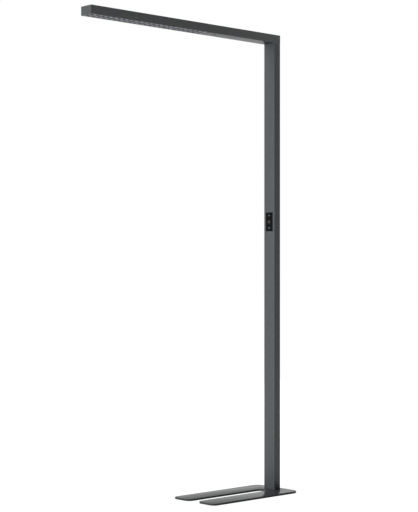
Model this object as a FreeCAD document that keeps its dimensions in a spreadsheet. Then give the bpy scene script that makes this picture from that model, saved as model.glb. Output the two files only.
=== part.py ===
import FreeCAD, Part
import os
import re
import Sketcher

# Office floor lamp: a weighted fork-shaped base plate, a rectangular extruded mast with a
# three-button panel, and a long rectangular head with a louvred downlight and an uplight.
# Frame: X across the lamp, the head points to -Y, +Z up, origin on the mast axis at the floor.

SIZES = [
    ("total_height", 1950, "floor to the top of the head"),
    ("section_width", 63, "width of mast and head across X"),
    ("mast_depth", 35, "depth of the mast along Y"),
    ("mast_wall", 2.5, "wall of the mast tube"),
    ("mast_corner", 2, "outside corner radius of the mast"),
    ("head_height", 34.5, "height of the head section"),
    ("head_reach", 1020, "back of the mast to the tip of the head"),
    ("head_wall", 2.5, "side wall of the head section"),
    ("web_height", 20, "underside of the head's web above the head's bottom"),
    ("web_thickness", 2.5, "web between the two channels of the head"),
    ("rail_size", 1.5, "square rails inside the head walls"),
    ("cap_thickness", 3, "end caps of the head"),
    ("cap_corner", 1, "edge radius of the end caps"),
    ("base_width", 251, "overall width of the base plate"),
    ("base_front", 458, "mast axis to the prong tips"),
    ("base_back", 39, "mast axis to the back edge of the base"),
    ("plate_thickness", 6, "steel base plate"),
    ("plate_chamfer", 1, "chamfer round the top of the base plate"),
    ("slot_width", 50, "gap between the prongs"),
    ("slot_end", 45, "mast axis to the round end of the gap"),
    ("back_corner", 35, "plan radius of the two back corners"),
    ("prong_corner", 24, "plan radius of the prong ends"),
    ("mat_thickness", 2, "anti-slip mat under the plate"),
    ("mat_inset", 1.5, "mat edge inside the plate edge"),
    ("base_screw_radius", 4, "M8 screws through the plate"),
    ("base_screw_head", 8, "head radius of the base screws"),
    ("base_screw_sink", 4, "height of the countersunk head"),
    ("base_screw_grip", 22, "screw length inside the mast foot"),
    ("base_screw_x", 20, "half spacing of the base screws across"),
    ("base_screw_y", 8, "half spacing of the base screws front to back"),
    ("mat_hole_gap", 1, "mat hole beyond the screw head"),
    ("foot_height", 60, "block inside the bottom of the mast"),
    ("slide_gap", 0.3, "clearance of blocks inside the tubes"),
    ("hole_gap", 0.1, "radial clearance of screws in their holes"),
    ("side_screw_radius", 2.5, "M5 screws in the back of the mast"),
    ("side_screw_head", 4.6, "head radius of those screws"),
    ("side_screw_sink", 2.2, "height of their countersunk heads"),
    ("side_screw_length", 12, "length of those screws"),
    ("side_screw_x", 19, "those screws beside the middle of the mast"),
    ("foot_screw_low", 30, "lower foot screw above the plate"),
    ("foot_screw_high", 50, "upper foot screw above the plate"),
    ("bracket_leg", 80, "bracket length down inside the mast"),
    ("bracket_arm", 62, "bracket length into the head ahead of the mast axis"),
    ("lead_tunnel", 10, "height of the cable tunnel in the bracket"),
    ("tunnel_left", 5, "cable tunnel from the middle to one side"),
    ("tunnel_right", 15, "cable tunnel from the middle to the other side"),
    ("top_screw_low", 60, "lower bracket screw below the mast top"),
    ("top_screw_high", 24, "upper bracket screw below the mast top"),
    ("web_screw_radius", 2, "M4 screws down through the web"),
    ("web_screw_head", 3.8, "their head radius"),
    ("web_screw_rise", 2, "their head height"),
    ("web_screw_length", 12, "their length below the web top"),
    ("web_screw_x", 20, "half spacing of the web screws"),
    ("web_screw_front", 50, "front web screws ahead of the mast axis"),
    ("web_screw_back", 24, "back web screws ahead of the mast axis"),
    ("cap_lug_width", 10, "lugs that hold the end caps"),
    ("cap_lug_reach", 12, "lug length into the head"),
    ("cap_lug_rise", 5, "lug height above the web"),
    ("cap_lug_x", 20, "lug centre from the middle"),
    ("cap_screw_radius", 1.5, "M3 screws through the lugs"),
    ("cap_screw_head", 2.8, "their head radius"),
    ("cap_screw_rise", 1.6, "their head height"),
    ("grid_front", 10, "tip of the head to the first cell wall"),
    ("grid_side_rim", 3.2, "flat rim of the louvre along each side"),
    ("cell_bar", 3, "flat bar between cells at the bottom"),
    ("cell_waist", 3.2, "wall drawn in at each side half way up"),
    ("cell_throat", 12, "square opening at the top of a cell"),
    ("cell_lip", 1.2, "upright lip at the bottom of a cell"),
    ("grid_depth", 12, "height of the louvre"),
    ("cell_wall", 1.2, "wall of the louvre moulding"),
    ("grid_end_rim", 6, "frame beyond the last cell"),
    ("trim_gap", 0.2, "gap round trims that sit in the head"),
    ("lens_thickness", 1.5, "clear lens sheet above the louvre"),
    ("board_thickness", 1.6, "circuit boards"),
    ("direct_board_width", 46, "downlight board"),
    ("led_size", 3.5, "square light-emitting packages"),
    ("led_height", 0.8, "height of those packages"),
    ("uplight_board_width", 20, "uplight board"),
    ("uplight_board_count", 3, "uplight boards end to end"),
    ("uplight_front", 24, "tip of the head to the first uplight board"),
    ("uplight_back", 138.5, "mast axis to the last uplight board"),
    ("uplight_led_pitch", 28, "pitch of the uplight packages"),
    ("top_cover_thickness", 2.5, "opal cover on top of the head"),
    ("cover_nose", 51.5, "underside cover ahead of the sensor body, at least"),
    ("cover_thickness", 2, "underside cover between louvre and mast"),
    ("cover_lip_height", 9, "upstanding lips of that cover"),
    ("cover_lip", 1.5, "thickness of those lips"),
    ("sensor_clearance", 8, "between the driver's far ear and the sensor body"),
    ("sensor_radius", 7, "radius of the sensor lens"),
    ("sensor_flange", 9, "radius of the sensor body above the cover"),
    ("sensor_depth", 8, "height of the sensor body"),
    ("sensor_bulge", 1.2, "how far the sensor lens stands below the cover"),
    ("driver_length", 200, "driver case"),
    ("driver_width", 42, "driver case"),
    ("driver_height", 16, "driver case"),
    ("driver_back", 110, "mast axis to the near end of the driver"),
    ("driver_ear", 10, "fixing ears of the driver"),
    ("driver_ear_thickness", 2, "fixing ears of the driver"),
    ("driver_screw_radius", 1.5, "driver screws"),
    ("driver_screw_head", 2.8, "their head radius"),
    ("driver_screw_rise", 1.6, "their head height"),
    ("panel_centre", 1152, "centre of the button panel above the floor"),
    ("panel_width", 41, "window in the mast"),
    ("panel_height", 81, "window in the mast"),
    ("panel_gap", 0.15, "gap round the bezel in its window"),
    ("panel_proud", 0.4, "bezel stands out of the mast face"),
    ("panel_border", 3, "bezel wall beyond the window inside the mast"),
    ("panel_front", 1.5, "bezel thickness behind the mast wall"),
    ("panel_box_depth", 11.4, "bezel box depth inside the mast"),
    ("button_pitch", 27, "pitch of the three buttons"),
    ("button_width", 34, "button face"),
    ("button_height", 22, "button face"),
    ("button_gap", 0.3, "gap round each button"),
    ("button_proud", 0.3, "button face stands out of the bezel"),
    ("button_round", 2, "corner radius of the button faces"),
    ("button_flange", 1.6, "flange that keeps the button in"),
    ("button_flange_thickness", 1.2, "thickness of that flange"),
    ("button_travel", 0.6, "travel of a button"),
    ("button_stop_gap", 0.3, "left between stem and switch when pressed"),
    ("stem_size", 6, "square stem behind the button"),
    ("stem_length", 3, "length of that stem"),
    ("plunger_radius", 1.75, "plunger of a switch"),
    ("plunger_gap", 0.1, "radial gap of the plunger"),
    ("plunger_sunk", 0.9, "plunger length inside the switch at rest"),
    ("switch_size", 6, "square switch body"),
    ("cover_plate", 1.6, "back cover of the button box"),
    ("panel_screw_radius", 1, "screws of the button box"),
    ("panel_screw_head", 1.9, "their head radius"),
    ("panel_screw_rise", 1.2, "their head height"),
    ("panel_screw_length", 6, "their length in the bezel"),
    ("inlet_height", 95, "cable inlet above the floor"),
    ("grommet_neck", 5, "radius of the grommet in the wall"),
    ("grommet_flange", 8, "radius of the grommet flanges"),
    ("grommet_flange_thickness", 1.5, "thickness of the grommet flanges"),
    ("lead_radius", 2.5, "inner supply lead"),
    ("lead_gap", 0.3, "gap of the lead in the grommet"),
    ("lead_y", 8.5, "lead behind the mast axis"),
    ("lead_bend", 5, "bend radius at the inlet"),
    ("lead_top_bend", 9, "bend radius at the top"),
    ("lead_rise", 10, "lead centre above the mast top"),
    ("signal_radius", 1.5, "control lead"),
    ("signal_y", 4, "control lead behind the mast axis"),
    ("signal_x", 12, "control lead beside the middle"),
    ("signal_tail", 6, "control lead start above the button box middle"),
]
ALIASES = {alias for alias, value, meaning in SIZES}

doc = FreeCAD.newDocument("office_floor_lamp")
sheet = doc.addObject("Spreadsheet::Sheet", "sizes")
for row, (alias, number, meaning) in enumerate(SIZES, start=1):
    sheet.set(f"A{row}", meaning)
    sheet.set(f"B{row}", str(number))
    sheet.setAlias(f"B{row}", alias)
doc.recompute()

# Places that several pieces share, as formulas of the driving sizes.
PLATE_TOP = "(mat_thickness + plate_thickness)"
MAST_TOP = "(total_height - head_height)"
WEB_BOTTOM = f"({MAST_TOP} + web_height)"
WEB_TOP = f"({WEB_BOTTOM} + web_thickness)"
TIP = "(mast_depth / 2 - head_reach)"
BACK = "(mast_depth / 2)"
CAP_INNER = f"({TIP} + cap_thickness)"
BORE_WIDTH = "(section_width - 2 * head_wall)"
GRID_START = f"({CAP_INNER} + trim_gap)"
SENSOR_REACH = "(driver_back + driver_length + driver_ear + sensor_clearance + sensor_flange)"
COVER_REACH = f"({BACK} + {SENSOR_REACH} + sensor_flange + cover_nose)"
CELL_PITCH = f"({BORE_WIDTH} / 2 - trim_gap - grid_side_rim)"
CELL_COUNT = f"(floor((head_reach - grid_front - grid_end_rim - {COVER_REACH}) / {CELL_PITCH}))"
CELLS_START = f"({TIP} + grid_front)"
CELLS_END = f"({CELLS_START} + {CELL_PITCH} * {CELL_COUNT})"
GRID_END = f"({CELLS_END} + grid_end_rim)"
COVER_START = f"({GRID_END} + trim_gap)"
COVER_END = "(0 - mast_depth / 2 - trim_gap)"
FACE = "(0 - mast_depth / 2)"
INNER_FACE = f"({FACE} + mast_wall)"
BOX_BACK = f"({INNER_FACE} + panel_box_depth)"
BEZEL_BACK = f"({INNER_FACE} + panel_front)"
FLANGE_BACK = f"({BEZEL_BACK} + button_flange_thickness)"
STEM_END = f"({FLANGE_BACK} + stem_length)"
SWITCH_FRONT = f"({STEM_END} + button_travel + button_stop_gap)"
BOARD_FRONT = f"({BOX_BACK} - board_thickness)"
BUTTONS = {"button_up": 1, "button_power": 0, "button_down": -1}


def formula(text):
    """Point each size's name in a formula at its cell."""
    return re.sub(r"[a-z_]+", lambda m: "sizes." + m.group(0) if m.group(0) in ALIASES else m.group(0), text)


def value(text):
    """The number that a formula gives now."""
    return float(sheet.evalExpression(formula(text)))


def bind(thing, prop, text):
    thing.setExpression(prop, formula(text))


def new_body(label):
    body = doc.addObject("PartDesign::Body", label)
    body.Label = label
    body.AllowCompound = True
    return body


def centred(width):
    """The low edge of something that lies centred on an axis."""
    return f"(0 - ({width}) / 2)"


TURNS = {
    "+z": FreeCAD.Rotation(),
    "-z": FreeCAD.Rotation(FreeCAD.Vector(1, 0, 0), 180),
    "+y": FreeCAD.Rotation(FreeCAD.Vector(1, 0, 0), -90),
    "-y": FreeCAD.Rotation(FreeCAD.Vector(1, 0, 0), 90),
}


def place(thing, start, axis="+z"):
    thing.Placement = FreeCAD.Placement(FreeCAD.Vector(), TURNS[axis])
    for letter, text in zip("xyz", start):
        bind(thing, "Placement.Base." + letter, text)


def box(body, name, corner, size, cut=False):
    kind = "SubtractiveBox" if cut else "AdditiveBox"
    block = body.newObject("PartDesign::" + kind, name)
    for prop, text in zip(("Length", "Width", "Height"), size):
        bind(block, prop, text)
    place(block, corner)
    return block


def cylinder(body, name, start, axis, radius, length, cut=False):
    kind = "SubtractiveCylinder" if cut else "AdditiveCylinder"
    round_bar = body.newObject("PartDesign::" + kind, name)
    bind(round_bar, "Radius", radius)
    bind(round_bar, "Height", length)
    place(round_bar, start, axis)
    return round_bar


def cone(body, name, start, axis, wide, narrow, length, cut=False):
    kind = "SubtractiveCone" if cut else "AdditiveCone"
    taper = body.newObject("PartDesign::" + kind, name)
    bind(taper, "Radius1", wide)
    bind(taper, "Radius2", narrow)
    bind(taper, "Height", length)
    place(taper, start, axis)
    return taper


def origin_plane(body, role):
    return next(item for item in body.Origin.OriginFeatures if item.Role == role)


def new_sketch(body, name, role, offset):
    sketch = body.newObject("Sketcher::SketchObject", name)
    sketch.AttachmentSupport = [(origin_plane(body, role), "")]
    sketch.MapMode = "FlatFace"
    bind(sketch, "AttachmentOffset.Base.z", offset)
    return sketch


def measure(sketch, kind, places, name, text):
    """Add one driving dimension to a sketch and bind it to the sheet."""
    index = sketch.addConstraint(Sketcher.Constraint(kind, *places, value(text)))
    sketch.renameConstraint(index, name)
    bind(sketch, "Constraints." + name, text)


def rectangle(sketch, left, bottom, width, height):
    """A closed rectangle whose corner and sides are bound to the sheet."""
    x, y, w, d = value(left), value(bottom), value(width), value(height)
    corners = [(x, y), (x + w, y), (x + w, y + d), (x, y + d)]
    points = [FreeCAD.Vector(a, b, 0) for a, b in corners]
    first = sketch.GeometryCount
    for i in range(4):
        sketch.addGeometry(Part.LineSegment(points[i], points[(i + 1) % 4]), False)
    for i in range(4):
        joint = ("Coincident", first + i, 2, first + (i + 1) % 4, 1)
        sketch.addConstraint(Sketcher.Constraint(*joint))
        direction = "Horizontal" if i % 2 == 0 else "Vertical"
        sketch.addConstraint(Sketcher.Constraint(direction, first + i))
    measure(sketch, "DistanceX", (-1, 1, first, 1), f"left{first}", left)
    measure(sketch, "DistanceY", (-1, 1, first, 1), f"bottom{first}", bottom)
    measure(sketch, "DistanceX", (first, 1, first, 2), f"width{first}", width)
    measure(sketch, "DistanceY", (first + 1, 1, first + 1, 2), f"height{first}", height)


def pad(body, sketch, length, name="Pad"):
    feature = body.newObject("PartDesign::Pad", name)
    feature.Profile = sketch
    bind(feature, "Length", length)
    return feature


def pocket(body, sketch, length, along_normal, name="Pocket"):
    feature = body.newObject("PartDesign::Pocket", name)
    feature.Profile = sketch
    bind(feature, "Length", length)
    feature.Reversed = along_normal
    return feature


def edges_where(feature, test):
    return [f"Edge{i}" for i, edge in enumerate(feature.Shape.Edges, start=1) if test(edge)]


def is_upright(edge):
    ends = [vertex.Point for vertex in edge.Vertexes]
    return len(ends) == 2 and abs(ends[0].x - ends[1].x) + abs(ends[0].y - ends[1].y) < 1e-6


def fillet(body, feature, test, radius, name="Fillet"):
    """Round the edges of a feature that pass a test."""
    doc.recompute()
    rounding = body.newObject("PartDesign::Fillet", name)
    rounding.Base = (feature, edges_where(feature, test))
    bind(rounding, "Radius", radius)
    return rounding


def centre_of(edge):
    return edge.BoundBox.Center


def mirror_pairs(x, y):
    return [(sx, sy, f"({sx} * {x})", f"({sy} * {y})") for sx in (-1, 1) for sy in (-1, 1)]


def fork_body(label, inset, bottom, thickness):
    """A fork-shaped sheet: a plate with a round-ended gap between two prongs."""
    body = new_body(label)
    outline = new_sketch(body, label + "_outline", "XY_Plane", bottom)
    low = f"({inset} - base_front)"
    depth = f"(base_front + base_back - 2 * {inset})"
    width = f"(base_width - 2 * {inset})"
    rectangle(outline, centred(width), low, width, depth)
    plate = pad(body, outline, thickness)
    gap_width = f"(slot_width + 2 * {inset})"
    gap = new_sketch(body, label + "_gap", "XY_Plane", bottom)
    centre_y = "(0 - slot_end - slot_width / 2)"
    rectangle(gap, centred(gap_width), f"({low} - plate_thickness)", gap_width,
              f"({centre_y} - {low} + plate_thickness)")
    pocket(body, gap, thickness, True)
    cylinder(body, label + "_gap_end", ("0", centre_y, bottom), "+z", f"({gap_width} / 2)", thickness, True)
    doc.recompute()
    back_y = value(f"base_back - {inset}")
    tip_y = value(low)
    feature = body.Tip
    back = fillet(body, feature, lambda e: is_upright(e) and abs(centre_of(e).y - back_y) < 0.01,
                  f"(back_corner - {inset})", label + "_back_corners")
    fillet(body, back, lambda e: is_upright(e) and abs(centre_of(e).y - tip_y) < 0.01,
                  f"(prong_corner - {inset})", label + "_prong_corners")
    doc.recompute()
    return body


def base_plate():
    body = fork_body("base_plate", "0", "mat_thickness", "plate_thickness")
    top = value(PLATE_TOP)
    chamfer = body.newObject("PartDesign::Chamfer", "plate_edge")
    previous = body.Group[-2]
    names = edges_where(previous,
                        lambda e: abs(e.BoundBox.ZMin - top) < 1e-4 and abs(e.BoundBox.ZMax - top) < 1e-4)
    chamfer.Base = (previous, names)
    bind(chamfer, "Size", "plate_chamfer")
    for sx, sy, x, y in mirror_pairs("base_screw_x", "base_screw_y"):
        tag = f"{sx + 1}{sy + 1}"
        cylinder(body, "screw_hole" + tag, (x, y, "mat_thickness"), "+z",
                 "(base_screw_radius + hole_gap)", "plate_thickness", True)
        cone(body, "screw_sink" + tag, (x, y, "mat_thickness"), "+z", "(base_screw_head + hole_gap)",
             "(base_screw_radius + hole_gap)", "base_screw_sink", True)
    return body


def base_mat():
    body = fork_body("base_mat", "mat_inset", "0", "mat_thickness")
    for sx, sy, x, y in mirror_pairs("base_screw_x", "base_screw_y"):
        cylinder(body, f"mat_hole{sx + 1}{sy + 1}", (x, y, "0"), "+z",
                 "(base_screw_head + mat_hole_gap)", "mat_thickness", True)
    return body


def base_screws():
    body = new_body("base_screws")
    for sx, sy, x, y in mirror_pairs("base_screw_x", "base_screw_y"):
        tag = f"{sx + 1}{sy + 1}"
        cone(body, "base_screw_head" + tag, (x, y, "mat_thickness"), "+z", "base_screw_head",
             "base_screw_radius", "base_screw_sink")
        cylinder(body, "base_screw_shank" + tag, (x, y, "mat_thickness"), "+z", "base_screw_radius",
                 "(plate_thickness + base_screw_grip)")
    return body


def side_screw(body, name, z, cut=False):
    """A countersunk screw that goes in through the back wall of the mast at height z."""
    gap = "hole_gap" if cut else "0"
    x = "(0 - side_screw_x)"
    cone(body, name + "_head", (x, BACK, z), "-y", f"(side_screw_head + {gap})",
         f"(side_screw_radius + {gap})", "side_screw_sink", cut)
    cylinder(body, name + "_shank", (x, BACK, z), "-y", f"(side_screw_radius + {gap})",
             f"(side_screw_length + {gap})", cut)


FOOT_SCREW_HEIGHTS = [f"({PLATE_TOP} + foot_screw_low)", f"({PLATE_TOP} + foot_screw_high)"]
TOP_SCREW_HEIGHTS = [f"({MAST_TOP} - top_screw_low)", f"({MAST_TOP} - top_screw_high)"]


def side_screws(label, heights):
    body = new_body(label)
    for i, z in enumerate(heights):
        side_screw(body, f"{label}_{i}", z)
    return body


def mast_foot():
    body = new_body("mast_foot")
    width = "(section_width - 2 * mast_wall - 2 * slide_gap)"
    depth = "(mast_depth - 2 * mast_wall - 2 * slide_gap)"
    box(body, "foot_block", (centred(width), centred(depth), PLATE_TOP), (width, depth, "foot_height"))
    for sx, sy, x, y in mirror_pairs("base_screw_x", "base_screw_y"):
        cylinder(body, f"foot_thread{sx + 1}{sy + 1}", (x, y, PLATE_TOP), "+z",
                 "(base_screw_radius + hole_gap)", "(base_screw_grip + hole_gap)", True)
    for i, z in enumerate(FOOT_SCREW_HEIGHTS):
        side_screw(body, f"foot_side_thread{i}", z, True)
    return body


def mast_tube():
    body = new_body("mast_tube")
    length = f"({MAST_TOP} - {PLATE_TOP})"
    outline = new_sketch(body, "mast_outline", "XY_Plane", PLATE_TOP)
    rectangle(outline, centred("section_width"), centred("mast_depth"), "section_width", "mast_depth")
    solid = pad(body, outline, length, "mast_pad")
    fillet(body, solid, is_upright, "mast_corner", "mast_corners")
    hollow = new_sketch(body, "mast_bore", "XY_Plane", PLATE_TOP)
    bore_width = "(section_width - 2 * mast_wall)"
    bore_depth = "(mast_depth - 2 * mast_wall)"
    rectangle(hollow, centred(bore_width), centred(bore_depth), bore_width, bore_depth)
    pocket(body, hollow, length, True, "mast_hollow")
    window = new_sketch(body, "panel_window", "XZ_Plane", BACK)
    rectangle(window, centred("panel_width"), "(panel_centre - panel_height / 2)", "panel_width",
              "panel_height")
    pocket(body, window, "mast_wall", False, "panel_opening")
    cylinder(body, "inlet_hole", ("0", BACK, "inlet_height"), "-y", "grommet_neck", "mast_wall", True)
    for i, z in enumerate(FOOT_SCREW_HEIGHTS + TOP_SCREW_HEIGHTS):
        side_screw(body, f"mast_screw_hole{i}", z, True)
    return body


def cable_grommet():
    body = new_body("cable_grommet")
    start = f"({BACK} + grommet_flange_thickness)"
    inside = f"({BACK} - mast_wall)"
    through = "(mast_wall + 2 * grommet_flange_thickness)"
    cylinder(body, "grommet_outer", ("0", start, "inlet_height"), "-y", "grommet_flange",
             "grommet_flange_thickness")
    cylinder(body, "grommet_neck", ("0", start, "inlet_height"), "-y", "grommet_neck", through)
    cylinder(body, "grommet_inner", ("0", inside, "inlet_height"), "-y", "grommet_flange",
             "grommet_flange_thickness")
    cylinder(body, "grommet_bore", ("0", start, "inlet_height"), "-y", "(lead_radius + lead_gap)", through,
             True)
    return body


BRACKET_WIDTH = f"({BORE_WIDTH} - 2 * slide_gap)"
ARM_FRONT = "(0 - bracket_arm)"
ARM_BACK = f"({BACK} - cap_thickness - slide_gap)"
WEB_SCREW_ROWS = ["(0 - web_screw_front)", "(0 - web_screw_back)"]


def corner_bracket():
    """An angle casting: a hollow leg down inside the mast and an arm inside the head."""
    body = new_body("corner_bracket")
    leg_depth = "(mast_depth - 2 * mast_wall - 2 * slide_gap)"
    leg_bottom = f"({MAST_TOP} - bracket_leg)"
    box(body, "bracket_leg_block", (centred(BRACKET_WIDTH), centred(leg_depth), leg_bottom),
        (BRACKET_WIDTH, leg_depth, "bracket_leg"))
    arm_rise = "(cover_thickness + slide_gap)"
    box(body, "bracket_neck", (centred(BRACKET_WIDTH), centred(leg_depth), MAST_TOP),
        (BRACKET_WIDTH, f"({ARM_BACK} + {leg_depth} / 2)", arm_rise))
    box(body, "bracket_arm_block", (centred(BRACKET_WIDTH), ARM_FRONT, f"({MAST_TOP} + {arm_rise})"),
        (BRACKET_WIDTH, f"({ARM_BACK} - {ARM_FRONT})", f"(web_height - {arm_rise})"))
    tunnel_width = "(tunnel_left + tunnel_right)"
    tunnel_depth = "(lead_tunnel + signal_y)"
    tunnel_y = f"(lead_y + lead_tunnel / 2 - {tunnel_depth})"
    box(body, "bracket_shaft", ("(0 - tunnel_left)", tunnel_y, leg_bottom),
        (tunnel_width, tunnel_depth, "(bracket_leg + lead_rise + lead_tunnel / 2)"), True)
    box(body, "bracket_tunnel",
        ("(0 - tunnel_left)", ARM_FRONT, f"({MAST_TOP} + lead_rise - lead_tunnel / 2)"),
        (tunnel_width, "(bracket_arm + lead_y)", "lead_tunnel"), True)
    for side in (-1, 1):
        for row, y in enumerate(WEB_SCREW_ROWS):
            cylinder(body, f"web_thread{side + 1}{row}", (f"({side} * web_screw_x)", y, WEB_BOTTOM), "-z",
                     "(web_screw_radius + hole_gap)", "(web_screw_length - web_thickness + hole_gap)", True)
    for i, z in enumerate(TOP_SCREW_HEIGHTS):
        side_screw(body, f"bracket_side_thread{i}", z, True)
    return body


def bracket_screws():
    body = new_body("bracket_screws")
    for side in (-1, 1):
        for row, y in enumerate(WEB_SCREW_ROWS):
            x = f"({side} * web_screw_x)"
            cylinder(body, f"web_screw_head{side + 1}{row}", (x, y, WEB_TOP), "+z", "web_screw_head",
                     "web_screw_rise")
            cylinder(body, f"web_screw_shank{side + 1}{row}", (x, y, WEB_TOP), "-z", "web_screw_radius",
                     "web_screw_length")
    return body


RAIL_LOW = f"({MAST_TOP} + grid_depth)"
RAIL_HIGH = "(total_height - top_cover_thickness - rail_size)"
LUG_ENDS = {"tip": (CAP_INNER, 1), "rear": (f"({BACK} - cap_thickness)", -1)}


def lug_screw_y(end):
    face, direction = LUG_ENDS[end]
    return f"({face} + {direction} * cap_lug_reach / 2)"


def head_profile():
    """The head extrusion: two side walls joined by a web, with rails for the trims."""
    body = new_body("head_profile")
    length = "(head_reach - 2 * cap_thickness)"
    back_offset = f"(cap_thickness - {BACK})"
    outline = new_sketch(body, "head_outline", "XZ_Plane", back_offset)
    rectangle(outline, centred("section_width"), MAST_TOP, "section_width", "head_height")
    pad(body, outline, length, "head_pad")
    channels = new_sketch(body, "head_channels", "XZ_Plane", back_offset)
    rectangle(channels, centred(BORE_WIDTH), MAST_TOP, BORE_WIDTH, "web_height")
    rectangle(channels, centred(BORE_WIDTH), WEB_TOP, BORE_WIDTH,
              "(head_height - web_height - web_thickness)")
    pocket(body, channels, length, True, "head_hollows")
    rails = new_sketch(body, "head_rails", "XZ_Plane", back_offset)
    for z in (RAIL_LOW, RAIL_HIGH):
        rectangle(rails, centred(BORE_WIDTH), z, "rail_size", "rail_size")
        rectangle(rails, f"({BORE_WIDTH} / 2 - rail_size)", z, "rail_size", "rail_size")
    pad(body, rails, length, "head_rail_pad")
    front = f"({ARM_FRONT} - slide_gap)"
    clear = f"({BACK} - {front})"
    for side in (-1, 1):
        corner = centred(BORE_WIDTH) if side < 0 else f"({BORE_WIDTH} / 2 - rail_size)"
        box(body, f"rail_relief{side + 1}", (corner, front, RAIL_LOW), ("rail_size", clear, "rail_size"),
            True)
        for row, y in enumerate(WEB_SCREW_ROWS):
            cylinder(body, f"web_hole{side + 1}{row}", (f"({side} * web_screw_x)", y, WEB_BOTTOM), "+z",
                     "(web_screw_radius + hole_gap)", "web_thickness", True)
        for end in LUG_ENDS:
            cylinder(body, f"lug_hole{side + 1}{end}",
                     (f"({side} * cap_lug_x)", lug_screw_y(end), WEB_BOTTOM),
                     "+z", "(cap_screw_radius + hole_gap)", "web_thickness", True)
    return body


def end_cap(label, end):
    """A flat cap with two lugs that lie on the web and are screwed down to it."""
    body = new_body(label)
    face, direction = LUG_ENDS[end]
    low_y = TIP if end == "tip" else face
    outline = new_sketch(body, label + "_outline", "XZ_Plane", f"(0 - {low_y} - cap_thickness)")
    rectangle(outline, centred("section_width"), MAST_TOP, "section_width", "head_height")
    plate = pad(body, outline, "cap_thickness", label + "_plate")
    outer = value(TIP if end == "tip" else BACK)
    fillet(body, plate,
           lambda e: abs(e.BoundBox.YMin - outer) < 1e-4 and abs(e.BoundBox.YMax - outer) < 1e-4,
           "cap_corner", label + "_edge")
    for side in (-1, 1):
        x = f"({side} * cap_lug_x)"
        lug_y = face if direction > 0 else f"({face} - cap_lug_reach)"
        box(body, f"{label}_lug{side + 1}", (f"({x} - cap_lug_width / 2)", lug_y, WEB_TOP),
            ("cap_lug_width", "cap_lug_reach", "cap_lug_rise"))
        cylinder(body, f"{label}_lug_hole{side + 1}", (x, lug_screw_y(end), WEB_TOP), "+z",
                 "(cap_screw_radius + hole_gap)", "cap_lug_rise", True)
    return body


def cap_screws():
    body = new_body("cap_screws")
    for end in LUG_ENDS:
        for side in (-1, 1):
            start = (f"({side} * cap_lug_x)", lug_screw_y(end), f"({WEB_TOP} + cap_lug_rise)")
            cylinder(body, f"cap_screw_head_{end}{side + 1}", start, "+z", "cap_screw_head",
                     "cap_screw_rise")
            cylinder(body, f"cap_screw_shank_{end}{side + 1}", start, "-z", "cap_screw_radius",
                     "(cap_lug_rise + web_thickness)")
    return body


def repeat(body, originals, pitch, count, name):
    """Repeat features along Y."""
    doc.recompute()
    rows = body.newObject("PartDesign::LinearPattern", name)
    rows.Originals = originals
    rows.Direction = (origin_plane(body, "Y_Axis"), [""])
    bind(rows, "Length", f"({pitch} * ({count} - 1))")
    bind(rows, "Occurrences", count)
    body.Tip = rows


def cell_rings(body, name, side, stages):
    """Square outlines of one cell, one above another; a stage is a height above the mouth and a width."""
    centre_x = f"({side} * {CELL_PITCH} / 2)"
    centre_y = f"({CELLS_START} + {CELL_PITCH} / 2)"
    rings = []
    for level, (rise, width) in enumerate(stages):
        ring = new_sketch(body, f"{name}_ring{level}", "XY_Plane", f"({MAST_TOP} + {rise})")
        rectangle(ring, f"({centre_x} - {width} / 2)", f"({centre_y} - {width} / 2)", width, width)
        rings.append(ring)
    return rings


def cell_loft(body, name, side, stages, cut):
    rings = cell_rings(body, name, side, stages)
    kind = "SubtractiveLoft" if cut else "AdditiveLoft"
    loft = body.newObject("PartDesign::" + kind, name)
    loft.Profile = rings[0]
    loft.Sections = rings[1:]
    loft.Ruled = True
    return loft


def louvre_grid():
    """A thin-walled moulding: two rows of square cells that narrow upwards in two slopes."""
    body = new_body("louvre_grid")
    width = f"({BORE_WIDTH} - 2 * trim_gap)"
    length = f"({GRID_END} - {GRID_START})"
    frame = new_sketch(body, "grid_outline", "XY_Plane", MAST_TOP)
    rectangle(frame, centred(width), GRID_START, width, length)
    pad(body, frame, "grid_depth", "grid_block")
    inner_width = f"({width} - 2 * cell_wall)"
    box(body, "grid_hollow",
        (centred(inner_width), f"({GRID_START} + cell_wall)", f"({MAST_TOP} + cell_lip)"),
        (inner_width, f"({length} - 2 * cell_wall)", "(grid_depth - cell_lip)"), True)
    mouth = f"({CELL_PITCH} - cell_bar)"
    openings = [("0", mouth), ("cell_lip", mouth), ("(grid_depth / 2)", f"({mouth} - 2 * cell_waist)"),
                ("grid_depth", "cell_throat")]
    outsides = [(rise, f"({width} + 2 * cell_wall)") for rise, width in openings]
    shells = [cell_loft(body, f"cell_shell{side + 1}", side, outsides, False) for side in (-1, 1)]
    cuts = [cell_loft(body, f"cell{side + 1}", side, openings, True) for side in (-1, 1)]
    repeat(body, shells + cuts, CELL_PITCH, CELL_COUNT, "cell_rows")
    return body


def lens_sheet():
    body = new_body("lens_sheet")
    width = f"({BORE_WIDTH} - 2 * trim_gap)"
    box(body, "lens_block", (centred(width), GRID_START, f"({RAIL_LOW} + rail_size)"),
        (width, f"({GRID_END} - {GRID_START})", "lens_thickness"))
    return body


def direct_led_boards():
    body = new_body("direct_led_boards")
    half = f"({CELL_PITCH} * {CELL_COUNT} / 2 - trim_gap)"
    z = f"({WEB_BOTTOM} - board_thickness)"
    for i, y in enumerate((CELLS_START, f"({CELLS_END} - {half})")):
        box(body, f"direct_board{i}", (centred("direct_board_width"), y, z),
            ("direct_board_width", half, "board_thickness"))
    return body


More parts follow.
